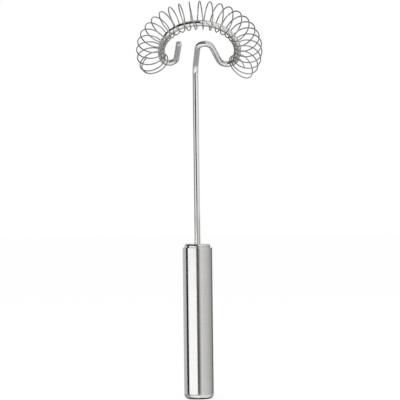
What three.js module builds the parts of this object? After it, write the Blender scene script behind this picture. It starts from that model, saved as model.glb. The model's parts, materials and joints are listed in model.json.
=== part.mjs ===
// Spiral whisk: a long-stemmed wire whisk with a loose coil spring threaded on a round wire bow.
// Millimetres, +Z up. The origin is the centre of the handle's flat butt, the handle and the
// stem run up the Z axis, and the wire head leans forward, towards -Y.

import * as THREE from 'three';

// Handle: a thin steel tube closed by a plug at the top and a pressed cap at the butt
const HANDLE_DIAMETER = 20;
const HANDLE_LENGTH = 101;
const TUBE_WALL = 1;
const FIT_GAP = 0.3;
const PLUG_PROUD = 2.4;
const PLUG_LENGTH = 16;
const PLUG_EDGE_RADIUS = 1.2;
const CAP_EDGE_RADIUS = 3;
const CAP_WALL = 1;
const CAP_SKIRT = 6;
const BUSH_LENGTH = 8;
const TANG_LENGTH = 45;
const TANG_PAST_BUSH = 2;

// Wire rod: one length of round wire, bent cold from the tang to the hooked tip
const ROD_DIAMETER = 4;
const STEM_CORNER_HEIGHT = 221.4;
const TILT_ANGLE = 49.3;
const TILT_BEND_RADIUS = 9;
const HEAD_LEAN = 5;
const NECK_LENGTH = 17.7;
const CREST_RADIUS = 5;
const FALL_SLANT = 20.5;
const FALL_LENGTH = 13;
const SWAN_BEND_RADIUS = 6;
const BOW_RADIUS = 25.7;
const BOW_RIGHT_END = 109.7;
const BOW_LEFT_END = 106.6;
const HOOK_RADIUS = 4.8;
const TIP_SLANT = 7.5;
const TIP_LENGTH = 14.3;

// Whisk spring: one right-handed coil of thin round wire round the bow. Its active turns fill the
// bow, and at each end the closing turns draw together, tuck in and lean into the wire's bend.
// At the top of the bow the coil is rolled back a little round the rod.
const WIRE_DIAMETER = 0.85;
const COIL_DIAMETER = 18.9;
const COIL_PITCH = 5.6;
const COIL_ROLL = 3.5;
const ACTIVE_OVERRUN = 0.4;
const LEFT_CLOSING_TURNS = 1.125;
const LEFT_CLOSING_PITCH = 1.35;
const LEFT_TUCK = 1.5;
const RIGHT_CLOSING_TURNS = 1.875;
const RIGHT_CLOSING_PITCH = 3.6;
const RIGHT_TUCK = 1;
const RIGHT_LEAN = 5.6;

// Facets
const HANDLE_SEGMENTS = 64;
const EDGE_STEPS = 5;
const ROD_SIDES = 14;
const ROD_BEND_STEP = 9;
const WIRE_SIDES = 5;
const STEPS_PER_TURN = 8;
const GAP_SAMPLES = 4;

const HANDLE_RADIUS = HANDLE_DIAMETER / 2;
const BORE_RADIUS = HANDLE_RADIUS - TUBE_WALL;
const INSERT_RADIUS = BORE_RADIUS - FIT_GAP;
const ROD_RADIUS = ROD_DIAMETER / 2;
const ROD_HOLE_RADIUS = ROD_RADIUS + FIT_GAP;
const WIRE_RADIUS = WIRE_DIAMETER / 2;
const COIL_RADIUS = COIL_DIAMETER / 2;
const PLUG_TOP = HANDLE_LENGTH + PLUG_PROUD;
const TANG_END = PLUG_TOP - TANG_LENGTH;
const BUSH_BOTTOM = TANG_END + TANG_PAST_BUSH;

const HALF_TURN = 180;
const THREE_QUARTER_TURN = 270;

const radians = THREE.MathUtils.degToRad;
const clamp = THREE.MathUtils.clamp;

// The head plane: right across the whisk, up its lean, and its normal towards the viewer
const RIGHT = new THREE.Vector3(1, 0, 0);
const UP = new THREE.Vector3(0, -Math.sin(radians(TILT_ANGLE)), Math.cos(radians(TILT_ANGLE)));
const NORMAL = new THREE.Vector3().crossVectors(RIGHT, UP);

// A direction in the head plane, turned clockwise from up as the viewer sees it
function headDirection(angle) {
  return UP.clone().multiplyScalar(Math.cos(angle)).addScaledVector(RIGHT, Math.sin(angle));
}

// Walks along a bent wire and keeps the stations, each a point and the wire's direction there
class BentWire {
  constructor(start, direction) {
    this.point = start.clone();
    this.direction = direction.clone();
    this.stations = [];
    this.mark();
  }

  mark() {
    this.stations.push({ point: this.point.clone(), tangent: this.direction.clone() });
  }

  straight(length) {
    this.point.addScaledVector(this.direction, length);
    this.mark();
  }

  // Turns by an angle in degrees about an axis square to the wire, and returns the bend's centre
  bend(axis, degrees, radius) {
    const centre = new THREE.Vector3().crossVectors(axis, this.direction)
      .multiplyScalar(Math.sign(degrees) * radius).add(this.point);
    const steps = Math.ceil(Math.abs(degrees) / ROD_BEND_STEP);
    const step = radians(degrees / steps);
    for (let i = 0; i < steps; i++) {
      this.point.sub(centre).applyAxisAngle(axis, step).add(centre);
      this.direction.applyAxisAngle(axis, step).normalize();
      this.mark();
    }
    return centre;
  }
}

// A curve whose equal steps are the stations of a bent wire, for an extruded section
class StationCurve extends THREE.Curve {
  constructor(stations) {
    super();
    this.stations = stations;
  }

  stationAt(u) {
    return this.stations[Math.round(u * (this.stations.length - 1))];
  }

  getPointAt(u, target = new THREE.Vector3()) {
    return target.copy(this.stationAt(u).point);
  }

  getTangentAt(u, target = new THREE.Vector3()) {
    return target.copy(this.stationAt(u).tangent);
  }
}

function circleShape(radius, sides) {
  const corners = [];
  for (let i = 0; i < sides; i++) {
    const angle = 2 * Math.PI * i / sides;
    corners.push(new THREE.Vector2(radius * Math.cos(angle), radius * Math.sin(angle)));
  }
  return new THREE.Shape(corners);
}

// The rod's route: tang and stem, tilt bend, neck, crest, falling leg, swan bend, bow, hook, tip
function bendRod() {
  const vertical = new THREE.Vector3(0, 0, 1);
  const neck = headDirection(radians(HEAD_LEAN));
  const tiltAxis = new THREE.Vector3().crossVectors(vertical, neck).normalize();
  const tilt = vertical.angleTo(neck);
  const setback = TILT_BEND_RADIUS * Math.tan(tilt / 2);
  const wire = new BentWire(new THREE.Vector3(0, 0, TANG_END), vertical);
  wire.straight(STEM_CORNER_HEIGHT - setback - TANG_END);
  wire.bend(tiltAxis, THREE.MathUtils.radToDeg(tilt), TILT_BEND_RADIUS);
  wire.straight(NECK_LENGTH - setback);
  wire.bend(NORMAL, HEAD_LEAN + FALL_SLANT - HALF_TURN, CREST_RADIUS);
  wire.straight(FALL_LENGTH);
  wire.bend(NORMAL, THREE_QUARTER_TURN - FALL_SLANT - BOW_RIGHT_END, SWAN_BEND_RADIUS);
  const bowCentre = wire.bend(NORMAL, BOW_RIGHT_END + BOW_LEFT_END, BOW_RADIUS);
  wire.bend(NORMAL, THREE_QUARTER_TURN - BOW_LEFT_END - TIP_SLANT, HOOK_RADIUS);
  wire.straight(TIP_LENGTH);
  return { stations: wire.stations, bowCentre };
}

function rodGeometry(stations) {
  return new THREE.ExtrudeGeometry(circleShape(ROD_RADIUS, ROD_SIDES), {
    steps: stations.length - 1,
    extrudePath: new StationCurve(stations),
  });
}

// The spring's stations. Its axis is a circle round the bow's centre, set outwards so that the
// facets of each turn clear the rod. The phase is nought at the coil's outermost point, where the
// active turns begin and end, and goes from there round the far side to the inside of the bow.
function springStations(bowCentre) {
  const inset = (ROD_RADIUS + WIRE_RADIUS + FIT_GAP) / Math.cos(Math.PI / STEPS_PER_TURN);
  const axisRadius = BOW_RADIUS + COIL_RADIUS - inset;
  const overrun = ACTIVE_OVERRUN / axisRadius;
  const first = -radians(BOW_LEFT_END) - overrun;
  const last = radians(BOW_RIGHT_END) + overrun;
  const activeTurns = Math.round((last - first) * axisRadius / COIL_PITCH);
  const steps = Math.round((LEFT_CLOSING_TURNS + activeTurns + RIGHT_CLOSING_TURNS) * STEPS_PER_TURN);
  const stations = [];
  for (let i = 0; i <= steps; i++) {
    const turn = i / STEPS_PER_TURN - LEFT_CLOSING_TURNS;
    const active = clamp(turn, 0, activeTurns);
    const beforeLeft = Math.max(-turn, 0);
    const pastRight = Math.max(turn - activeTurns, 0);
    const leftClosing = beforeLeft / LEFT_CLOSING_TURNS;
    const rightClosing = pastRight / RIGHT_CLOSING_TURNS;
    const phase = 2 * Math.PI * turn;
    const closingAdvance = RIGHT_CLOSING_PITCH * pastRight - LEFT_CLOSING_PITCH * beforeLeft;
    const angle = first + (last - first) * active / activeTurns + closingAdvance / axisRadius
      + radians(RIGHT_LEAN) * rightClosing * Math.cos(phase);
    const outward = headDirection(angle);
    const spoke = outward.clone().multiplyScalar(Math.cos(phase))
      .addScaledVector(NORMAL, Math.sin(phase));
    const tuck = LEFT_TUCK * leftClosing + RIGHT_TUCK * rightClosing;
    const roll = radians(COIL_ROLL) * Math.cos(angle);
    const reach = axisRadius - BOW_RADIUS - tuck;
    const point = bowCentre.clone()
      .addScaledVector(outward, BOW_RADIUS + reach * Math.cos(roll))
      .addScaledVector(NORMAL, -reach * Math.sin(roll))
      .addScaledVector(spoke, COIL_RADIUS);
    stations.push({ point, spoke });
  }
  return stations;
}

// Adds a straight end, one wire diameter long, square to the coil's spokes
function addStraightEnds(stations) {
  const ends = [[stations[0], stations[1]], [stations.at(-1), stations.at(-2)]];
  const [before, after] = ends.map(([end, next]) => {
    const away = end.point.clone().sub(next.point).normalize();
    return { point: end.point.clone().addScaledVector(away, WIRE_DIAMETER), spoke: end.spoke };
  });
  return [before, ...stations, after];
}

// One closed tube through the stations: a ring of corners at each, joined by two triangles a side
function wireGeometry(stations) {
  const positions = [];
  const indices = [];
  stations.forEach((station, i) => {
    const previous = stations[Math.max(i - 1, 0)].point;
    const next = stations[Math.min(i + 1, stations.length - 1)].point;
    const tangent = next.clone().sub(previous).normalize();
    const across = new THREE.Vector3().crossVectors(tangent, station.spoke).normalize();
    const outward = new THREE.Vector3().crossVectors(across, tangent);
    for (let k = 0; k < WIRE_SIDES; k++) {
      const angle = 2 * Math.PI * k / WIRE_SIDES;
      const corner = station.point.clone()
        .addScaledVector(outward, WIRE_RADIUS * Math.cos(angle))
        .addScaledVector(across, WIRE_RADIUS * Math.sin(angle));
      positions.push(...corner.toArray());
    }
  });
  for (let i = 0; i < stations.length - 1; i++) {
    for (let k = 0; k < WIRE_SIDES; k++) {
      const a = i * WIRE_SIDES + k;
      const b = i * WIRE_SIDES + (k + 1) % WIRE_SIDES;
      indices.push(a, b, a + WIRE_SIDES, b, b + WIRE_SIDES, a + WIRE_SIDES);
    }
  }
  const top = (stations.length - 1) * WIRE_SIDES;
  for (let k = 1; k < WIRE_SIDES - 1; k++) {
    indices.push(0, k + 1, k, top, top + k, top + k + 1);
  }
  const geometry = new THREE.BufferGeometry();
  geometry.setAttribute('position', new THREE.Float32BufferAttribute(positions, 3));
  geometry.setIndex(indices);
  return geometry;
}

// The least gap between turns, measured on points along the wire at least half a turn apart
function leastGap(stations) {
  const points = [];
  for (let i = 0; i < stations.length - 1; i++) {
    for (let k = 0; k < GAP_SAMPLES; k++) {
      points.push(stations[i].point.clone().lerp(stations[i + 1].point, k / GAP_SAMPLES));
    }
  }
  const apart = STEPS_PER_TURN * GAP_SAMPLES / 2;
  let least = Infinity;
  for (let i = 0; i < points.length; i++) {
    for (let j = i + apart; j < points.length; j++) {
      least = Math.min(least, points[i].distanceTo(points[j]));
    }
  }
  return least - WIRE_DIAMETER;
}

// A body turned about the Z axis from pairs of radius and height
function turned(profile) {
  const points = profile.map(([radius, height]) => new THREE.Vector2(radius, height));
  const geometry = new THREE.LatheGeometry(points, HANDLE_SEGMENTS);
  return geometry.rotateX(Math.PI / 2);
}

// Points of a quarter round about a centre, from one angle to another in degrees
function roundEdge(radius, height, edge, from, to) {
  const points = [];
  for (let i = 0; i <= EDGE_STEPS; i++) {
    const angle = radians(from + (to - from) * i / EDGE_STEPS);
    points.push([radius + edge * Math.cos(angle), height + edge * Math.sin(angle)]);
  }
  return points;
}

function ringGeometry(outer, inner, bottom, top) {
  return turned([[inner, bottom], [outer, bottom], [outer, top], [inner, top], [inner, bottom]]);
}

// The plug fills the tube's mouth, stands proud of it with a rounded edge, and holds the stem
function plugGeometry() {
  const bottom = PLUG_TOP - PLUG_LENGTH;
  return turned([
    [ROD_HOLE_RADIUS, bottom],
    [INSERT_RADIUS, bottom],
    ...roundEdge(INSERT_RADIUS - PLUG_EDGE_RADIUS, PLUG_TOP - PLUG_EDGE_RADIUS,
      PLUG_EDGE_RADIUS, 0, 90),
    [ROD_HOLE_RADIUS, PLUG_TOP],
    [ROD_HOLE_RADIUS, bottom],
  ]);
}

// The pressed cap: a flat base with a rounded edge, and a skirt inside the tube, open upwards
function capGeometry() {
  const skirtTop = CAP_EDGE_RADIUS + CAP_SKIRT;
  return turned([
    [0, 0],
    ...roundEdge(HANDLE_RADIUS - CAP_EDGE_RADIUS, CAP_EDGE_RADIUS, CAP_EDGE_RADIUS, -90, 0),
    [INSERT_RADIUS, CAP_EDGE_RADIUS],
    [INSERT_RADIUS, skirtTop],
    [INSERT_RADIUS - CAP_WALL, skirtTop],
    [INSERT_RADIUS - CAP_WALL, CAP_EDGE_RADIUS],
    [HANDLE_RADIUS - CAP_EDGE_RADIUS, CAP_WALL],
    [0, CAP_WALL],
  ]);
}

const satinSteel = new THREE.MeshStandardMaterial({ color: 0xbcbbb6, roughness: 0.32, metalness: 1 });
const polishedSteel = new THREE.MeshStandardMaterial({ color: 0xcfcdc9, roughness: 0.18, metalness: 1 });
const springSteel = new THREE.MeshStandardMaterial({ color: 0xb4b2b0, roughness: 0.25, metalness: 1 });
const blackPlastic = new THREE.MeshStandardMaterial({ color: 0x2b2b2b, roughness: 0.6, metalness: 0 });

function named(name, geometry, material) {
  const mesh = new THREE.Mesh(geometry, material);
  mesh.name = name;
  return mesh;
}

const rod = bendRod();
const coil = addStraightEnds(springStations(rod.bowCentre));
console.log(`least gap between the spring's turns: ${leastGap(coil).toFixed(2)} mm`);

const tubeBottom = CAP_EDGE_RADIUS + FIT_GAP;
const whisk = new THREE.Group();
whisk.add(
  named('stem_rod', rodGeometry(rod.stations), polishedSteel),
  named('whisk_spring', wireGeometry(coil), springSteel),
  named('handle_tube', ringGeometry(HANDLE_RADIUS, BORE_RADIUS, tubeBottom, HANDLE_LENGTH), satinSteel),
  named('front_plug', plugGeometry(), polishedSteel),
  named('tang_bush',
    ringGeometry(INSERT_RADIUS, ROD_HOLE_RADIUS, BUSH_BOTTOM, BUSH_BOTTOM + BUSH_LENGTH),
    blackPlastic),
  named('butt_cap', capGeometry(), satinSteel),
);

export default whisk;
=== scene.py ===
"""Spiral whisk: the visual pieces, their finishes and the studio round them, in metres, +Z up."""

import json
import logging
import math
from dataclasses import dataclass, field
from enum import Enum

import bpy
import numpy as np
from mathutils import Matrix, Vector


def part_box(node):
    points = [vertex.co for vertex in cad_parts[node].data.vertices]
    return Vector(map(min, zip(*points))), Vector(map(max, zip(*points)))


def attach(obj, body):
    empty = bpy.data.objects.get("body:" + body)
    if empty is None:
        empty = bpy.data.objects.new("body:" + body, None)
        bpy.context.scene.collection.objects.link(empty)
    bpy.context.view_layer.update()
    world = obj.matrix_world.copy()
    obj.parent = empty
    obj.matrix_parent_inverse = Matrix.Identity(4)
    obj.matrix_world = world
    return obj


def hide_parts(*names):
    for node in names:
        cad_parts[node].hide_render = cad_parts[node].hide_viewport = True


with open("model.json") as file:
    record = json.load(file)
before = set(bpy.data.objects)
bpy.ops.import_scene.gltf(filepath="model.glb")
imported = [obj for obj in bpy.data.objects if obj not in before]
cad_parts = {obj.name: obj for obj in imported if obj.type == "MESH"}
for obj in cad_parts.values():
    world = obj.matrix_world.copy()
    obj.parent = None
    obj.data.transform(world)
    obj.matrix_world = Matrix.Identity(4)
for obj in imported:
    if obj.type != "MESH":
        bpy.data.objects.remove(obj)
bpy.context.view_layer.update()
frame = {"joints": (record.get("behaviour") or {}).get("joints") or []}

MM = 0.001
RIGHT = np.array([1.0, 0.0, 0.0])
VERTICAL = np.array([0.0, 0.0, 1.0])
QUARTER_TURN = 90.0
HALF_TURN = 180.0
THREE_QUARTER_TURN = 270.0
MIDDLE_HEIGHT = 0.13
LOG = logging.getLogger("spiral_whisk")


class Slot(Enum):
    """The record's material slots."""

    POLISHED = "polished_steel"
    SPRING = "spring_steel"
    SATIN = "satin_steel"
    PLASTIC = "black_plastic"


class Body(Enum):
    """The rigid bodies that the pieces ride on."""

    HANDLE = "handle"
    SPRING = "spring"


class Grain(Enum):
    """The way that the fine marks of a metal run."""

    ALONG = "along"
    AROUND = "around"


class Corner(Enum):
    """The corners of a profile, each with the first angle of its quarter round in degrees."""

    LOWER_OUTER = -90
    UPPER_OUTER = 0
    UPPER_INNER = 90
    LOWER_INNER = 180


def placed(name: str, data: bpy.types.ID) -> bpy.types.Object:
    """Makes an object and links it to the scene.

    Args:
        name: the object's name.
        data: its mesh, lamp or camera.

    Returns:
        The new object.
    """
    made = bpy.data.objects.new(name, data)
    bpy.context.scene.collection.objects.link(made)
    return made


# Surfaces

STRAIGHT_PLACE = "straight_place"
SHARP_DEGREES = 40.0
FLAT_GUARD = 0.2


@dataclass
class Surface:
    """Rings of points skinned into a closed surface.

    rings holds rings by points by xyz. start and end close the first and the last ring with a fan
    to one point, and loop joins the last ring to the first one instead. straight, where it is
    given, holds the same points as if the wire were straight along Z, so that a finish can follow
    a bend.
    """

    rings: np.ndarray
    start: np.ndarray | None = None
    end: np.ndarray | None = None
    loop: bool = False
    straight: np.ndarray | None = None

    def quads(self) -> np.ndarray:
        """Four corners for each cell of the grid, whose second direction always closes on itself.

        Returns:
            An array of corner indices, one row a face.
        """
        count, around = self.rings.shape[:2]
        rows = np.arange(count if self.loop else count - 1)[:, None]
        columns = np.arange(around)[None, :]
        above = (rows + 1) % count
        beside = (columns + 1) % around
        corners = [rows * around + columns, rows * around + beside, above * around + beside,
                   above * around + columns]
        return np.stack(corners, axis=-1).reshape(-1, 4)

    def fan(self, ring: int, pole: int, back: bool) -> np.ndarray:
        """Three corners for each side of a ring and one pole.

        Args:
            ring: which ring the fan closes.
            pole: the index of the pole's point.
            back: whether the fan faces back along the axis.

        Returns:
            An array of corner indices, one row a face.
        """
        around = self.rings.shape[1]
        near = ring * around + np.arange(around)
        far = ring * around + (np.arange(around) + 1) % around
        sides = [far, near] if back else [near, far]
        return np.stack([*sides, np.full(around, pole)], axis=-1)

    def make(self, name: str) -> bpy.types.Object:
        """Makes the mesh object, smooth, closed and with its faces outwards.

        Args:
            name: the piece's name.

        Returns:
            The new object, linked to the scene.
        """
        points = self.rings.reshape(-1, 3)
        faces = self.quads().tolist()
        last = self.rings.shape[0] - 1
        for ring, pole, back in ((0, self.start, True), (last, self.end, False)):
            if pole is not None:
                faces += self.fan(ring, len(points), back).tolist()
                points = np.vstack([points, pole])
        mesh = bpy.data.meshes.new(name)
        mesh.from_pydata(points.tolist(), [], faces)
        if signed_volume(mesh) < 0:
            mesh.flip_normals()
        if self.straight is not None:
            poles = [self.straight[0].mean(axis=0), self.straight[-1].mean(axis=0)]
            places = np.vstack([self.straight.reshape(-1, 3), poles]).astype(np.float32)
            attribute = mesh.attributes.new(STRAIGHT_PLACE, "FLOAT_VECTOR", "POINT")
            attribute.data.foreach_set("vector", places.ravel())
        mesh.shade_smooth()
        mesh.set_sharp_from_angle(angle=math.radians(SHARP_DEGREES))
        return placed(name, mesh)


def signed_volume(mesh: bpy.types.Mesh) -> float:
    """The volume inside a closed mesh, as the sum of a . (b x c) / 6 over its triangles.

    Args:
        mesh: the mesh to measure.

    Returns:
        The volume, negative where the faces point inwards.
    """
    mesh.calc_loop_triangles()
    corners = np.zeros(len(mesh.loop_triangles) * 3, np.int32)
    mesh.loop_triangles.foreach_get("vertices", corners)
    points = np.zeros(len(mesh.vertices) * 3)
    mesh.vertices.foreach_get("co", points)
    a, b, c = points.reshape(-1, 3)[corners.reshape(-1, 3)].transpose(1, 0, 2)
    return float(np.einsum("ij,ij->i", a, np.cross(b, c)).sum() / 6)


def softened(radius: float, height: float, edge: float, corner: Corner, steps: int) -> np.ndarray:
    """A corner of a profile, softened by a quarter round: centre + edge (cos a, sin a).

    The centre lies inside the metal, one edge radius from both sides of the corner. One more point
    before and one past the round, a small way along its tangents, keep the flats beside it flat.

    Args:
        radius: the corner's distance from the axis.
        height: the corner's height.
        edge: the quarter round's radius.
        corner: which corner it is.
        steps: how many chords the round has.

    Returns:
        Pairs of radius and height.
    """
    angle = np.radians(np.linspace(corner.value, corner.value + QUARTER_TURN, steps + 1))
    inward = -np.sign([np.cos(angle.mean()), np.sin(angle.mean())])
    centre = np.array([radius, height]) + edge * inward
    spoke = np.stack([np.cos(angle), np.sin(angle)], axis=-1)
    tangent = FLAT_GUARD * np.stack([-spoke[:, 1], spoke[:, 0]], axis=-1)
    return centre + edge * np.vstack([spoke[:1] - tangent[:1], spoke, spoke[-1:] + tangent[-1:]])


def revolve(profile: np.ndarray, segments: int, loop: bool) -> Surface:
    """Carries a profile round the Z axis: (r cos a, r sin a, h) for each pair and each angle.

    Args:
        profile: pairs of radius and height.
        segments: how many steps go round.
        loop: whether the profile closes on itself; otherwise it starts and ends on the axis.

    Returns:
        The closed surface.
    """
    angle = 2 * np.pi * np.arange(segments) / segments
    inner = profile if loop else profile[1:-1]
    radius, height = inner[:, 0, None], inner[:, 1, None]
    places = np.broadcast_arrays(radius * np.cos(angle), radius * np.sin(angle), height)
    rings = np.stack(places, axis=-1)
    if loop:
        return Surface(rings, loop=True)
    return Surface(rings, *(np.array([[0, 0, h]]) for h in profile[[0, -1], 1]))


# Bent wire

STRAIGHT_STEP = 2.0 * MM
EDGE_STEPS = 4


@dataclass
class Route:
    """A wire's centreline: points, the wire's direction, and one direction square to it."""

    points: np.ndarray
    tangents: np.ndarray
    sides: np.ndarray

    def tube(self, radius: float, around: int, edge: float) -> Surface:
        """Carries a circle along the route, with both ends cut square and their edges softened.

        The circle at a point is point + r (side cos a + across sin a), where across is the tangent
        crossed with the side, and r grows and shrinks by a quarter round at the two ends.

        Args:
            radius: the wire's radius.
            around: how many points go round.
            edge: the radius of the softened edge at the two cut ends.

        Returns:
            The closed surface.
        """
        turn = np.linspace(0, np.pi / 2, EDGE_STEPS + 1)
        inset, rise = edge * (1 - np.sin(turn)), edge * (1 - np.cos(turn))
        first = self.points[0] + self.tangents[0] * rise[:, None]
        last = self.points[-1] - self.tangents[-1] * rise[::-1, None]
        middle = np.arange(1, len(self.points) - 1)
        points = np.vstack([first, self.points[middle], last])
        width = radius - np.concatenate([inset, np.zeros(len(middle)), inset[::-1]])[:, None]
        source = np.concatenate([np.zeros(len(turn), int), middle, np.full(len(turn), -1)])
        side, across = self.sides[source], np.cross(self.tangents[source], self.sides[source])
        angle = 2 * np.pi * np.arange(around) / around
        cosine, sine = width * np.cos(angle), width * np.sin(angle)
        rings = (points[:, None] + side[:, None] * cosine[..., None]
                 + across[:, None] * sine[..., None])
        steps = np.linalg.norm(np.diff(points, axis=0), axis=1)
        length = np.concatenate([[0.0], np.cumsum(steps)])[:, None]
        straight = np.stack(np.broadcast_arrays(cosine, sine, length), axis=-1)
        return Surface(rings, points[:1], points[-1:], straight=straight)


def unit(vectors: np.ndarray) -> np.ndarray:
    """Each row of an array divided by its length."""
    return vectors / np.linalg.norm(vectors, axis=1)[:, None]


def turned(vector: np.ndarray, axis: np.ndarray, angle: np.ndarray) -> np.ndarray:
    """A vector turned about an axis by each angle: v cos a + (k x v) sin a + k (k . v) (1 - cos a).

    Args:
        vector: the vector to turn.
        axis: the unit vector to turn about.
        angle: the angles in radians.

    Returns:
        One row for each angle.
    """
    cosine, sine = np.cos(angle)[:, None], np.sin(angle)[:, None]
    along = axis * np.dot(axis, vector)
    return vector * cosine + np.cross(axis, vector) * sine + along * (1 - cosine)


@dataclass
class Bender:
    """Bends a wire cold, one straight or bend after another, and keeps each as arrays."""

    point: np.ndarray
    tangent: np.ndarray
    side: np.ndarray
    step: float
    parts: list[tuple[np.ndarray, ...]] = field(default_factory=list)

    def straight(self, length: float) -> None:
        """Feeds a straight length of wire: point + tangent s.

        Args:
            length: how much wire.
        """
        count = max(math.ceil(length / STRAIGHT_STEP), 1)
        run = np.linspace(0, length, count + 1)[1:, None]
        still = np.ones((count, 1))
        self.keep(self.point + self.tangent * run, self.tangent * still, self.side * still)

    def bend(self, axis: np.ndarray, degrees: float, radius: float) -> np.ndarray:
        """Bends the wire about an axis square to it: centre + the spoke turned about the axis.

        Args:
            axis: the unit vector to turn about.
            degrees: how far, positive by the right-hand rule.
            radius: the bend's radius at the wire's centreline.

        Returns:
            The bend's centre.
        """
        centre = self.point + np.cross(axis, self.tangent) * math.copysign(radius, degrees)
        count = max(math.ceil(abs(degrees) / self.step), 1)
        angle = np.radians(np.linspace(0, degrees, count + 1)[1:])
        spoke = self.point - centre
        self.keep(centre + turned(spoke, axis, angle), turned(self.tangent, axis, angle),
                  turned(self.side, axis, angle))
        return centre

    def keep(self, points: np.ndarray, tangents: np.ndarray, sides: np.ndarray) -> None:
        """Keeps a part of the route and goes on from its last point."""
        self.parts.append((points, tangents, sides))
        self.point, self.tangent, self.side = points[-1], tangents[-1], sides[-1]

    def route(self) -> Route:
        """Joins the parts into one route."""
        return Route(*(np.vstack(arrays) for arrays in zip(*self.parts)))


# Finishes

MARKS_DETAIL = 3.0
MARKS_GAIN = 0.65
MARKS_RANGE = (0.3, 0.7)
HANDLING_DETAIL = 5.0
HANDLING_GAIN = 0.55
HANDLING_SWIRL = 0.4
HANDLING_RANGE = (0.38, 0.68)
HANDLING_PATCHES = 60.0


def socket(group: bpy.types.NodeTree, name: str, kind: str, way: str,
           value: float | None = None) -> None:
    """Adds a named socket to a node group.

    Args:
        group: the node group.
        name: the socket's name.
        kind: Float or Vector.
        way: INPUT or OUTPUT.
        value: an input's default.
    """
    made = group.interface.new_socket(name=name, in_out=way, socket_type=f"NodeSocket{kind}")
    if value is not None:
        made.default_value = value


def add(tree: bpy.types.NodeTree, kind: str, inputs: dict[str | int, object] | None = None,
        **settings: object) -> bpy.types.Node:
    """Adds a shader node to a tree.

    Args:
        tree: the node tree.
        kind: the node's kind.
        inputs: values for its unlinked inputs, by name or number.
        settings: its settings, which are set before the values.

    Returns:
        The new node.
    """
    node = tree.nodes.new(f"ShaderNode{kind}")
    for key, value in settings.items():
        setattr(node, key, value)
    for key, value in (inputs or {}).items():
        node.inputs[key].default_value = value
    return node


def blank(name: str) -> tuple[bpy.types.Material, bpy.types.NodeTree]:
    """Makes a material that is ready for its nodes.

    Args:
        name: the material's name.

    Returns:
        The material and its node tree.
    """
    material = bpy.data.materials.new(name)
    material.use_nodes = True
    return material, material.node_tree


def marks_group() -> bpy.types.NodeTree:
    """Fine marks that run one way: noise on a place whose axes are stretched by Across and Along.

    Returns:
        A node group with Place, Across and Along in, and Tone from 0 to 1 out.
    """
    group = bpy.data.node_groups.new("fine_marks", "ShaderNodeTree")
    socket(group, "Place", "Vector", "INPUT")
    socket(group, "Across", "Float", "INPUT", 1.0)
    socket(group, "Along", "Float", "INPUT", 1.0)
    socket(group, "Tone", "Float", "OUTPUT")
    entry, leave = group.nodes.new("NodeGroupInput"), group.nodes.new("NodeGroupOutput")
    scale = add(group, "CombineXYZ")
    stretch = add(group, "VectorMath", operation="MULTIPLY")
    noise = add(group, "TexNoise", {"Scale": 1.0, "Detail": MARKS_DETAIL, "Roughness": MARKS_GAIN},
                noise_dimensions="3D")
    spread = add(group, "MapRange", {"From Min": MARKS_RANGE[0], "From Max": MARKS_RANGE[1]})
    link = group.links.new
    link(entry.outputs["Across"], scale.inputs["X"])
    link(entry.outputs["Across"], scale.inputs["Y"])
    link(entry.outputs["Along"], scale.inputs["Z"])
    link(entry.outputs["Place"], stretch.inputs[0])
    link(scale.outputs["Vector"], stretch.inputs[1])
    link(stretch.outputs["Vector"], noise.inputs["Vector"])
    link(noise.outputs["Fac"], spread.inputs["Value"])
    link(spread.outputs["Result"], leave.inputs["Tone"])
    return group


def handling_group() -> bpy.types.NodeTree:
    """Soft patches where hands and washing have dulled a surface: broad noise with finer in it.

    Returns:
        A node group with Place and Size in, and Dulled from 0 to 1 out.
    """
    group = bpy.data.node_groups.new("handling", "ShaderNodeTree")
    socket(group, "Place", "Vector", "INPUT")
    socket(group, "Size", "Float", "INPUT", HANDLING_PATCHES)
    socket(group, "Dulled", "Float", "OUTPUT")
    entry, leave = group.nodes.new("NodeGroupInput"), group.nodes.new("NodeGroupOutput")
    noise = add(group, "TexNoise", {"Detail": HANDLING_DETAIL, "Roughness": HANDLING_GAIN,
                                    "Distortion": HANDLING_SWIRL}, noise_dimensions="3D")
    spread = add(group, "MapRange", {"From Min": HANDLING_RANGE[0], "From Max": HANDLING_RANGE[1]},
                 interpolation_type="SMOOTHSTEP")
    link = group.links.new
    link(entry.outputs["Place"], noise.inputs["Vector"])
    link(entry.outputs["Size"], noise.inputs["Scale"])
    link(noise.outputs["Fac"], spread.inputs["Value"])
    link(spread.outputs["Result"], leave.inputs["Dulled"])
    return group


@dataclass
class Effects:
    """The shader node groups that the finishes share."""

    marks: bpy.types.NodeTree = field(default_factory=marks_group)
    handling: bpy.types.NodeTree = field(default_factory=handling_group)


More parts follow.
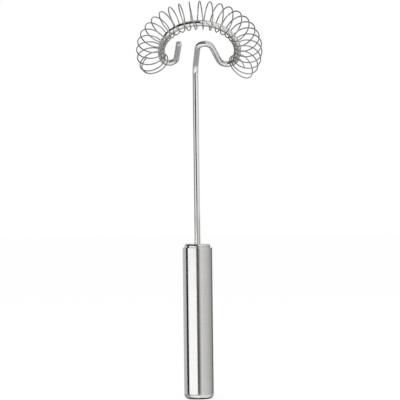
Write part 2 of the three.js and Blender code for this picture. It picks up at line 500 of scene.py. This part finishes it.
@dataclass(frozen=True)
class Metal:
    """A worked metal: two near tones mixed by fine marks, dulled in patches, with slight relief."""

    name: str
    light: tuple[float, float, float]
    dark: tuple[float, float, float]
    grain: Grain
    roughness: float
    marks_roughness: float
    dulled_roughness: float
    relief: float
    fine_per_metre: float
    coarse_per_metre: float
    patches_per_metre: float
    straightened: bool

    def make(self, effects: Effects) -> bpy.types.Material:
        """Builds the material.

        Args:
            effects: the shared node groups.

        Returns:
            The material, which reads Object coordinates or the straightened place.
        """
        material, tree = blank(self.name)
        shader = tree.nodes["Principled BSDF"]
        shader.inputs["Metallic"].default_value = 1.0
        place = self.place(tree)
        across, along = self.fine_per_metre, self.coarse_per_metre
        if self.grain is Grain.AROUND:
            across, along = along, across
        marks = add(tree, "Group", {"Across": across, "Along": along}, node_tree=effects.marks)
        handling = add(tree, "Group", {"Size": self.patches_per_metre}, node_tree=effects.handling)
        tone = add(tree, "Mix", {"A": (*self.dark, 1.0), "B": (*self.light, 1.0)}, data_type="RGBA")
        marked = add(tree, "MapRange", {"To Min": self.roughness - self.marks_roughness,
                                        "To Max": self.roughness + self.marks_roughness})
        dulled = add(tree, "Math", {1: self.dulled_roughness}, operation="MULTIPLY_ADD")
        bump = add(tree, "Bump", {"Distance": self.relief})
        link = tree.links.new
        link(place, marks.inputs["Place"])
        link(place, handling.inputs["Place"])
        link(marks.outputs["Tone"], tone.inputs["Factor"])
        link(tone.outputs["Result"], shader.inputs["Base Color"])
        link(marks.outputs["Tone"], marked.inputs["Value"])
        link(handling.outputs["Dulled"], dulled.inputs[0])
        link(marked.outputs["Result"], dulled.inputs[2])
        link(dulled.outputs["Value"], shader.inputs["Roughness"])
        link(marks.outputs["Tone"], bump.inputs["Height"])
        link(bump.outputs["Normal"], shader.inputs["Normal"])
        return material

    def place(self, tree: bpy.types.NodeTree) -> bpy.types.NodeSocket:
        """The place that the pattern reads: along the wire as if it were straight, or the object's.

        Args:
            tree: the material's node tree.

        Returns:
            The output that holds the place.
        """
        if self.straightened:
            return add(tree, "Attribute", attribute_name=STRAIGHT_PLACE).outputs["Vector"]
        return add(tree, "TexCoord").outputs["Object"]


@dataclass(frozen=True)
class MouldedPlastic:
    """A plain moulded plastic with a fine spark-eroded texture."""

    name: str
    color: tuple[float, float, float]
    rubbed: tuple[float, float, float]
    roughness: float
    rubbed_roughness: float
    texture_per_metre: float
    relief: float

    def make(self, effects: Effects) -> bpy.types.Material:
        """Builds the material, whose relief and rubbed patches read Object coordinates.

        Args:
            effects: the shared node groups.

        Returns:
            The material.
        """
        material, tree = blank(self.name)
        shader = tree.nodes["Principled BSDF"]
        place = add(tree, "TexCoord").outputs["Object"]
        noise = add(tree, "TexNoise", {"Scale": self.texture_per_metre})
        handling = add(tree, "Group", node_tree=effects.handling)
        dulled = add(tree, "MapRange", {"To Min": self.roughness, "To Max": self.rubbed_roughness})
        tone = add(tree, "Mix", {"A": (*self.color, 1.0), "B": (*self.rubbed, 1.0)},
                   data_type="RGBA")
        bump = add(tree, "Bump", {"Distance": self.relief})
        link = tree.links.new
        link(place, noise.inputs["Vector"])
        link(place, handling.inputs["Place"])
        link(handling.outputs["Dulled"], dulled.inputs["Value"])
        link(dulled.outputs["Result"], shader.inputs["Roughness"])
        link(handling.outputs["Dulled"], tone.inputs["Factor"])
        link(tone.outputs["Result"], shader.inputs["Base Color"])
        link(noise.outputs["Fac"], bump.inputs["Height"])
        link(bump.outputs["Normal"], shader.inputs["Normal"])
        return material


POLISHED_ROD = Metal(
    name="polished_rod", light=(0.8, 0.79, 0.775), dark=(0.72, 0.71, 0.695), grain=Grain.ALONG,
    roughness=0.05, marks_roughness=0.015, dulled_roughness=0.03, relief=0.000003,
    fine_per_metre=3500.0, coarse_per_metre=120.0, patches_per_metre=70.0, straightened=True)
SPRING_WIRE = Metal(
    name="spring_wire", light=(0.52, 0.515, 0.505), dark=(0.36, 0.355, 0.35), grain=Grain.ALONG,
    roughness=0.12, marks_roughness=0.04, dulled_roughness=0.08, relief=0.000002,
    fine_per_metre=6000.0, coarse_per_metre=200.0, patches_per_metre=60.0, straightened=True)
SATIN_TUBE = Metal(
    name="satin_tube", light=(0.78, 0.775, 0.765), dark=(0.72, 0.715, 0.705), grain=Grain.AROUND,
    roughness=0.08, marks_roughness=0.02, dulled_roughness=0.05, relief=0.0000006,
    fine_per_metre=5200.0, coarse_per_metre=60.0, patches_per_metre=42.0, straightened=False)
TURNED_PLUG = Metal(
    name="turned_plug", light=(0.72, 0.715, 0.71), dark=(0.64, 0.635, 0.63), grain=Grain.AROUND,
    roughness=0.09, marks_roughness=0.02, dulled_roughness=0.04, relief=0.0000015,
    fine_per_metre=6000.0, coarse_per_metre=90.0, patches_per_metre=90.0, straightened=False)
BLACK_NYLON = MouldedPlastic(
    name="black_nylon", color=(0.03, 0.03, 0.031), rubbed=(0.045, 0.045, 0.047), roughness=0.5,
    rubbed_roughness=0.65, texture_per_metre=2200.0, relief=0.00002)


# Sub-assemblies


def dress(piece: bpy.types.Object, material: bpy.types.Material, body: Body,
          node: str) -> None:
    """Dresses a piece, and says what it rides on and what node it replaces.

    Args:
        piece: the finished object.
        material: its finish.
        body: the body that it moves with.
        node: the node that it replaces.
    """
    piece.data.materials.append(material)
    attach(piece, body.value)
    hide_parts(node)
    LOG.info("%s: %d faces, rides on %s", piece.name, len(piece.data.polygons), body.value)


@dataclass
class Handle:
    """The handle: a tube, the plug in its mouth, the bush inside it and the cap on its butt."""

    effects: Effects
    wall: float = 1.0 * MM
    edge: float = 0.2 * MM
    plug_edge: float = 1.2 * MM
    cap_edge: float = 3.0 * MM
    cap_wall: float = 1.0 * MM
    cap_lip: float = 0.12 * MM
    hole_radius: float = 2.3 * MM
    rings: int = 24
    segments: int = 160
    edge_steps: int = 8
    disc_edge_steps: int = 16
    cap_edge_steps: int = 24

    def build(self) -> None:
        """Builds the four pieces and dresses them."""
        satin = SATIN_TUBE.make(self.effects)
        plug = TURNED_PLUG.make(self.effects)
        nylon = BLACK_NYLON.make(self.effects)
        dress(self.tube(), satin, Body.HANDLE, "handle_tube")
        dress(self.cap(), satin, Body.HANDLE, "butt_cap")
        dress(self.plug(), plug, Body.HANDLE, "front_plug")
        dress(self.bush(), nylon, Body.HANDLE, "tang_bush")

    def tube(self) -> bpy.types.Object:
        """The round tube: an outer wall, a bore and two mouths with softened edges.

        Returns:
            The new object.
        """
        low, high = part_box("handle_tube")
        inner = high.x - self.wall
        heights = np.linspace(low.z, high.z, self.rings + 2)[1:-1]
        profile = np.vstack([
            softened(high.x, low.z, self.edge, Corner.LOWER_OUTER, self.edge_steps),
            np.stack([np.full(self.rings, high.x), heights], axis=-1),
            softened(high.x, high.z, self.edge, Corner.UPPER_OUTER, self.edge_steps),
            softened(inner, high.z, self.edge, Corner.UPPER_INNER, self.edge_steps),
            softened(inner, low.z, self.edge, Corner.LOWER_INNER, self.edge_steps),
        ])
        return revolve(profile, self.segments, loop=True).make("satin_handle_tube")

    def plug(self) -> bpy.types.Object:
        """The plug: a thick disc with a rounded edge, proud of the tube and bored for the stem."""
        return self.bored("front_plug", self.plug_edge).make("turned_front_plug")

    def bush(self) -> bpy.types.Object:
        """The bush: a ring inside the tube round the rod's tang."""
        return self.bored("tang_bush", self.edge).make("moulded_tang_bush")

    def bored(self, node: str, top_edge: float) -> Surface:
        """A disc as large as a node, bored for the rod.

        Args:
            node: the node that gives its radius and heights.
            top_edge: the radius of its upper outer edge.

        Returns:
            The closed surface.
        """
        low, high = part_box(node)
        profile = np.vstack([
            softened(high.x, low.z, self.edge, Corner.LOWER_OUTER, self.edge_steps),
            softened(high.x, high.z, top_edge, Corner.UPPER_OUTER, self.disc_edge_steps),
            softened(self.hole_radius, high.z, self.edge, Corner.UPPER_INNER, self.edge_steps),
            softened(self.hole_radius, low.z, self.edge, Corner.LOWER_INNER, self.edge_steps),
        ])
        return revolve(profile, self.segments, loop=True)

    def cap(self) -> bpy.types.Object:
        """The pressed cap: a flat base, a rounded edge, a step and a skirt up inside the tube.

        The rounded edge runs straight into the step's lip, so the last point of its round and the
        points that would keep a flat between the two are left out.

        Returns:
            The new object.
        """
        low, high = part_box("butt_cap")
        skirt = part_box("front_plug")[1].x
        seat = low.z + self.cap_edge
        floor = low.z + self.cap_wall
        inner = skirt - self.cap_wall
        profile = np.vstack([
            [[0, low.z]],
            softened(high.x, low.z, self.cap_edge, Corner.LOWER_OUTER, self.cap_edge_steps)[:-2],
            softened(high.x, seat, self.cap_lip, Corner.UPPER_OUTER, self.edge_steps)[1:],
            [[skirt, seat]],
            softened(skirt, high.z, self.edge, Corner.UPPER_OUTER, self.edge_steps),
            softened(inner, high.z, self.edge, Corner.UPPER_INNER, self.edge_steps),
            [[inner, seat], [high.x - self.cap_edge, floor], [0, floor]],
        ])
        return revolve(profile, self.segments, loop=False).make("pressed_butt_cap")


@dataclass
class StemRod:
    """The wire rod: tang, stem, tilt bend, neck, crest, falling leg, swan bend, bow, hook, tip."""

    effects: Effects
    radius: float = 2.0 * MM
    corner_height: float = 221.4 * MM
    tilt: float = 49.3
    tilt_radius: float = 9.0 * MM
    head_lean: float = 5.0
    neck: float = 17.7 * MM
    crest_radius: float = 5.0 * MM
    fall_slant: float = 20.5
    fall: float = 13.0 * MM
    swan_radius: float = 6.0 * MM
    bow_radius: float = 25.7 * MM
    bow_right: float = 109.7
    bow_left: float = 106.6
    hook_radius: float = 4.8 * MM
    tip_slant: float = 7.5
    tip: float = 14.3 * MM
    cut_edge: float = 0.35 * MM
    bend_step: float = 3.0
    around: int = 40

    def build(self) -> None:
        """Builds the rod and dresses it."""
        piece = self.route().tube(self.radius, self.around, self.cut_edge).make("polished_stem_rod")
        dress(piece, POLISHED_ROD.make(self.effects), Body.HANDLE, "stem_rod")

    def route(self) -> Route:
        """The rod's centreline, bent cold from the tang to the tip.

        Returns:
            The route.
        """
        tilt, lean = math.radians(self.tilt), math.radians(self.head_lean)
        up = np.array([0, -math.sin(tilt), math.cos(tilt)])
        normal = np.cross(RIGHT, up)
        neck = up * math.cos(lean) + RIGHT * math.sin(lean)
        hinge = np.cross(VERTICAL, neck)
        hinge /= np.linalg.norm(hinge)
        turn = math.acos(float(neck @ VERTICAL))
        setback = self.tilt_radius * math.tan(turn / 2)
        start = np.array([0, 0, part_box("stem_rod")[0].z])
        wire = Bender(start, VERTICAL, hinge, self.bend_step)
        wire.keep(start[None], VERTICAL[None], hinge[None])
        wire.straight(self.corner_height - setback - start[2])
        wire.bend(hinge, math.degrees(turn), self.tilt_radius)
        wire.straight(self.neck - setback)
        wire.bend(normal, self.head_lean + self.fall_slant - HALF_TURN, self.crest_radius)
        wire.straight(self.fall)
        wire.bend(normal, THREE_QUARTER_TURN - self.fall_slant - self.bow_right, self.swan_radius)
        centre = wire.bend(normal, self.bow_right + self.bow_left, self.bow_radius)
        wire.bend(normal, THREE_QUARTER_TURN - self.bow_left - self.tip_slant, self.hook_radius)
        wire.straight(self.tip)
        off = np.linalg.norm(centre - frame["joints"][0]["pos_m"]) / MM
        LOG.info("the bow's centre is %.4f mm from the joint", off)
        return wire.route()


@dataclass
class WhiskSpring:
    """The loose spring on the bow: one coil of round wire whose ends close up, tuck in and lean."""

    effects: Effects
    bow: StemRod
    wire_radius: float = 0.425 * MM
    coil_radius: float = 9.15 * MM
    contact: float = 0.03 * MM
    pitch: float = 5.6 * MM
    roll: float = 3.5
    overrun: float = 0.4 * MM
    left_turns: float = 1.125
    left_pitch: float = 1.35 * MM
    left_tuck: float = 1.5 * MM
    left_flare: float = 0.7 * MM
    right_turns: float = 1.875
    right_pitch: float = 3.6 * MM
    right_tuck: float = 1.4 * MM
    right_lean: float = 5.6
    creeps: tuple[tuple[float, float], ...] = (
        (-76, 0), (-48, -0.26), (-24, 0), (0, 0.16), (22, 0.45), (68, 0.45), (94, 0.39), (109, 0))
    steps_per_turn: int = 48
    around: int = 12
    cut_edge: float = 0.12 * MM

    def build(self) -> None:
        """Builds the spring and dresses it."""
        surface = self.route().tube(self.wire_radius, self.around, self.cut_edge)
        piece = surface.make("coiled_whisk_spring")
        dress(piece, SPRING_WIRE.make(self.effects), Body.SPRING, "whisk_spring")

    def route(self) -> Route:
        """The coil's centreline, which winds round a circle about the bow's centre.

        At a turn t the phase is 2 pi t, nought at the outermost point. The point is centre +
        outward (bow + reach cos roll) - normal reach sin roll + R (outward cos phase + normal sin
        phase), where outward turns steadily along the bow, the closing turns slow it down, and the
        roll is greatest at the top of the bow. The loops have crept along the bow: creeps pairs a
        place in degrees with the creep there in millimetres. R grows a little over the left closing
        turn. Each end has a straight as long as the wire is thick.

        Returns:
            The route.
        """
        joint = frame["joints"][0]
        centre, normal = np.array(joint["pos_m"]), np.array(joint["axis"])
        up = np.cross(normal, RIGHT)
        bow = self.bow.bow_radius
        offset = self.coil_radius - self.bow.radius - self.wire_radius - self.contact
        axis_radius = bow + offset
        over = self.overrun / axis_radius
        first = -math.radians(self.bow.bow_left) - over
        last = math.radians(self.bow.bow_right) + over
        active_turns = round((last - first) * axis_radius / self.pitch)
        steps = round((self.left_turns + active_turns + self.right_turns) * self.steps_per_turn)
        turn = np.arange(steps + 1) / self.steps_per_turn - self.left_turns
        before, past = np.maximum(-turn, 0), np.maximum(turn - active_turns, 0)
        left, right = before / self.left_turns, past / self.right_turns
        phase = 2 * np.pi * turn
        angle = first + (last - first) * np.clip(turn, 0, active_turns) / active_turns
        angle += (self.right_pitch * past - self.left_pitch * before) / axis_radius
        places, creeps = np.array(self.creeps).T
        creep = np.interp(np.degrees(angle), places, creeps) * MM
        angle += creep / axis_radius + math.radians(self.right_lean) * right * np.cos(phase)
        roll = math.radians(self.roll) * np.cos(angle)
        reach = offset - self.left_tuck * left - self.right_tuck * right
        radius = self.coil_radius + self.left_flare * left
        outward = np.sin(angle)[:, None] * RIGHT + np.cos(angle)[:, None] * up
        spoke = np.cos(phase)[:, None] * outward + np.sin(phase)[:, None] * normal
        points = (centre + outward * (bow + reach * np.cos(roll))[:, None]
                  - normal * (reach * np.sin(roll))[:, None] + radius[:, None] * spoke)
        tangents = unit(np.gradient(points, axis=0))
        tail = 2 * self.wire_radius * tangents
        points = np.vstack([points[:1] - tail[:1], points, points[-1:] + tail[-1:]])
        tangents = np.vstack([tangents[:1], tangents, tangents[-1:]])
        spoke = np.vstack([spoke[:1], spoke, spoke[-1:]])
        along = np.einsum("ij,ij->i", spoke, tangents)[:, None]
        return Route(points, tangents, unit(spoke - tangents * along))


# Studio

CARD_SHADE = "card_shade"
PLAIN_WHITE = (1.0, 1.0, 1.0)
WARM_WHITE = (1.0, 0.99, 0.96)


@dataclass(frozen=True)
class Card:
    """A studio card, seen only in reflections: a patch of a large sphere round the whisk.

    Each edge row is an elevation with the azimuths of its left and right end, in degrees. The
    azimuth is nought towards the viewer and positive to the viewer's right. The shades are those
    of the left and the right end, with an even ramp between them.
    """

    name: str
    shades: tuple[float, float]
    edges: tuple[tuple[float, float, float], ...]
    tint: tuple[float, float, float] = PLAIN_WHITE
    distance: float = 3.0
    height: float = MIDDLE_HEIGHT
    steps: int = 24

    def make(self) -> None:
        """Builds the patch: distance (sin a cos e, -cos a cos e, sin e) between the edge rows."""
        rows = np.array(self.edges)
        elevation = np.linspace(rows[0, 0], rows[-1, 0], self.steps + 1)[:, None]
        left = np.interp(elevation, rows[:, 0], rows[:, 1])
        right = np.interp(elevation, rows[:, 0], rows[:, 2])
        across = np.linspace(0, 1, self.steps + 1)[None, :]
        azimuth = np.radians(left + (right - left) * across)
        lift = np.broadcast_to(np.radians(elevation), azimuth.shape)
        directions = [np.sin(azimuth) * np.cos(lift), -np.cos(azimuth) * np.cos(lift), np.sin(lift)]
        points = self.distance * np.stack(directions, axis=-1) + [0, 0, self.height]
        row = self.steps + 1
        corner = (np.arange(self.steps)[:, None] * row + np.arange(self.steps)[None, :]).ravel()
        faces = np.stack([corner, corner + 1, corner + row + 1, corner + row], axis=-1)
        mesh = bpy.data.meshes.new(self.name)
        mesh.from_pydata(points.reshape(-1, 3).tolist(), [], faces.tolist())
        ramp = self.shades[0] + (self.shades[1] - self.shades[0]) * across
        shade = np.broadcast_to(ramp, azimuth.shape).astype(np.float32)
        attribute = mesh.attributes.new(CARD_SHADE, "FLOAT", "POINT")
        attribute.data.foreach_set("value", shade.ravel())
        mesh.materials.append(self.glow())
        card = placed(self.name, mesh)
        card.visible_camera = False
        card.visible_diffuse = False
        card.visible_shadow = False

    def glow(self) -> bpy.types.Material:
        """The card's plain glow, as strong as its shade.

        Returns:
            The material.
        """
        material, tree = blank(self.name)
        tree.nodes.remove(tree.nodes["Principled BSDF"])
        light = add(tree, "Emission", {"Color": (*self.tint, 1.0)})
        shade = add(tree, "Attribute", attribute_name=CARD_SHADE)
        tree.links.new(shade.outputs["Fac"], light.inputs["Strength"])
        tree.links.new(light.outputs["Emission"], tree.nodes["Material Output"].inputs["Surface"])
        return material


@dataclass
class Studio:
    """A white sweep, soft lamps, cards for the metal to reflect, and the camera.

    The cards stand on one large sphere, with back_panel a little inside it. Only foot_shade is
    near: a small dark disc just under the butt, a painted contact shadow that the cap's rounded
    edge reflects.
    """

    floor_half: float = 6.0
    floor_tone: float = 0.95
    floor_roughness: float = 0.9
    floor_glow: float = 0.87
    key_place: tuple[float, float, float] = (-0.9, -1.0, 1.1)
    key_watts: float = 8.0
    fill_place: tuple[float, float, float] = (1.1, -0.8, 0.9)
    fill_watts: float = 4.8
    lamp_size: float = 0.9
    world_fill: float = 0.95
    eye: tuple[float, float, float] = (0.00206, -1.338, 0.13272)
    roll: float = 0.68
    lens: float = 180.0
    sensor: float = 36.0
    near_clip: float = 0.01
    cards: tuple[Card, ...] = (
        Card("key_panel", (1.25, 1.25), ((-9.5, -79, -10.6), (-2.61, -79, -10.6))),
        Card("key_edge", (1.38, 1.38), ((-2.6, -79, -10.6), (-1.46, -79, -10.6))),
        Card("key_gap", (0.66, 0.6), ((-1.45, -79, -10.6), (-0.5, -79, -10.6))),
        Card("key_lower", (0.9, 1.35), ((-40, -76, 0), (-9.6, -76, 0))),
        Card("key_foot", (0.7, 1.0), ((-85.5, -76, 0), (-40.1, -76, 0))),
        Card("key_upper", (0.65, 1.25), ((-0.4, -78, -19), (3, -80, -41), (13, -80, -41))),
        Card("left_flag", (0.04, 0.04), ((-9.5, -103.5, -79.5), (13, -101, -81))),
        Card("upper_left_flag", (0.03, 0.03), ((13, -112, 2), (25, -150, 3), (60, -150, 5))),
        Card("upper_left_sky", (0.3, 0.3), ((60.1, -150, 5), (75, -150, 5))),
        Card("front_flag", (0.1, 0.1), ((-9.5, -10.1, 3.9), (-0.5, -10.1, 3.9))),
        Card("front_shade", (0.06, 0.12), ((-0.4, -19, 23), (2.4, -40, 11))),
        Card("front_dark", (0.03, 0.03), ((2.5, -40, 9), (13, -40, 9))),
        Card("front_turn", (0.1, 0.78), ((-9.5, 4, 22.5), (-0.6, 4, 22.5))),
        Card("right_panel", (0.78, 0.6), ((-9.5, 22.6, 80), (-0.6, 22.6, 80)), tint=WARM_WHITE),
        Card("right_side", (0.58, 0.36), ((-9.5, 80.1, 124), (-0.6, 80.1, 124)), tint=WARM_WHITE),
        Card("right_flag", (0.18, 0.18), ((-9.5, 124.1, 152), (-0.5, 124.1, 152))),
        Card("right_wall", (1.1, 0.55), ((-0.4, 23.1, 150), (2.4, 11.1, 150), (13, 9.1, 150))),
        Card("right_sky", (1.05, 0.75), ((13.1, 9.1, 150), (75, 7, 150))),
        Card("left_back", (0.62, 0.62), ((-9.5, -180, -103.6), (13, -180, -101.1))),
        Card("back_sky", (0.45, 0.45), ((13.1, 150.1, 209.9), (75, 150.1, 209.9))),
        Card("zenith", (0.4, 0.4), ((75.1, -180, 180), (90, -180, 180))),
        Card("lower_left", (0.36, 0.5), ((-85.5, -145, -76.1), (-9.6, -145, -76.1))),
        Card("lower_right", (0.98, 0.88), ((-62, 0.1, 104), (-9.6, 0.1, 104))),
        Card("lower_back", (0.52, 0.44), ((-62, 104.1, 140), (-9.6, 104.1, 140))),
        Card("back_panel", (1.0, 1.0), ((-45, 160, 174), (13, 160, 174)), distance=2.9),
        Card("behind_low", (0.3, 0.3), ((-50, 140.1, 214.9), (-9.6, 140.1, 214.9))),
        Card("behind_dark", (0.24, 0.24), ((-85.5, 140.1, 214.9), (-50.1, 140.1, 214.9))),
        Card("underneath", (0.62, 0.42), ((-85.5, 0.1, 140), (-62.1, 0.1, 140))),
        Card("nadir", (0.55, 0.55), ((-90, -180, 180), (-85.6, -180, 180))),
        Card("foot_shade", (0.01, 0.01), ((-90, -180, 180), (-87.3, -180, 180)), distance=0.2,
             height=0.1995),
    )

    def build(self) -> None:
        """Builds the floor, the world, the lamps, the cards and the camera."""
        self.floor()
        self.world()
        self.lamp("key_lamp", self.key_place, self.key_watts)
        self.lamp("fill_lamp", self.fill_place, self.fill_watts)
        for card in self.cards:
            card.make()
        self.camera()
        bpy.context.scene.view_settings.view_transform = "Standard"

    def floor(self) -> None:
        """A large pale floor under the butt, white to the camera, that keeps the whisk's shadow."""
        half = self.floor_half
        corners = [(-half, -half, 0), (half, -half, 0), (half, half, 0), (-half, half, 0)]
        mesh = bpy.data.meshes.new("floor")
        mesh.from_pydata(corners, [], [(0, 1, 2, 3)])
        floor = placed("floor", mesh)
        floor.visible_glossy = False
        material, tree = blank("pale_floor")
        shader = tree.nodes["Principled BSDF"]
        shader.inputs["Base Color"].default_value = (*(self.floor_tone,) * 3, 1.0)
        shader.inputs["Roughness"].default_value = self.floor_roughness
        shader.inputs["Specular IOR Level"].default_value = 0.0
        glow = add(tree, "Emission")
        share = add(tree, "Math", {1: self.floor_glow}, operation="MULTIPLY")
        mix = add(tree, "MixShader")
        link = tree.links.new
        link(seen_by(tree), share.inputs[0])
        link(share.outputs["Value"], mix.inputs["Fac"])
        link(shader.outputs["BSDF"], mix.inputs[1])
        link(glow.outputs["Emission"], mix.inputs[2])
        link(mix.outputs["Shader"], tree.nodes["Material Output"].inputs["Surface"])
        mesh.materials.append(material)

    def world(self) -> None:
        """White to the camera and in reflections, and a plain soft fill for everything else."""
        world = bpy.data.worlds.new("studio")
        world.use_nodes = True
        bpy.context.scene.world = world
        tree = world.node_tree
        back = tree.nodes["Background"]
        back.inputs["Color"].default_value = (*PLAIN_WHITE, 1.0)
        strength = add(tree, "MapRange", {"To Min": self.world_fill, "To Max": 1.0})
        tree.links.new(seen_by(tree), strength.inputs["Value"])
        tree.links.new(strength.outputs["Result"], back.inputs["Strength"])

    def lamp(self, name: str, place: tuple[float, float, float], watts: float) -> None:
        """A soft square lamp aimed at the middle of the whisk, unseen in reflections.

        Args:
            name: the lamp's name.
            place: where it hangs.
            watts: its power.
        """
        data = bpy.data.lights.new(name, "AREA")
        data.size = self.lamp_size
        data.energy = watts
        lamp = placed(name, data)
        lamp.location = place
        x, y, z = VERTICAL * MIDDLE_HEIGHT - np.array(place)
        lamp.rotation_euler = (math.atan2(math.hypot(x, y), -z), 0, math.atan2(-x, y))
        lamp.visible_glossy = False

    def camera(self) -> None:
        """The photograph's view: level, from the front, with a slight roll."""
        data = bpy.data.cameras.new("camera")
        data.lens = self.lens
        data.sensor_width = self.sensor
        data.clip_start = self.near_clip
        camera = placed("camera", data)
        camera.location = self.eye
        camera.rotation_euler = (math.radians(QUARTER_TURN), math.radians(self.roll), 0)
        bpy.context.scene.camera = camera


def seen_by(tree: bpy.types.NodeTree) -> bpy.types.NodeSocket:
    """One for camera, glossy and transmission rays, else nought: the greatest of the three.

    Args:
        tree: the material or world that asks.

    Returns:
        The output that holds it.
    """
    rays = add(tree, "LightPath")
    either = add(tree, "Math", operation="MAXIMUM")
    any_of = add(tree, "Math", operation="MAXIMUM")
    tree.links.new(rays.outputs["Is Camera Ray"], either.inputs[0])
    tree.links.new(rays.outputs["Is Glossy Ray"], either.inputs[1])
    tree.links.new(either.outputs["Value"], any_of.inputs[0])
    tree.links.new(rays.outputs["Is Transmission Ray"], any_of.inputs[1])
    return any_of.outputs["Value"]


def main() -> None:
    """Builds the whisk and its studio."""
    logging.basicConfig(level=logging.INFO, format="%(message)s")
    effects = Effects()
    rod = StemRod(effects)
    for assembly in (Handle(effects), rod, WhiskSpring(effects, rod), Studio()):
        assembly.build()
        LOG.info("%s done", type(assembly).__name__)


if __name__ == "__main__":
    main()
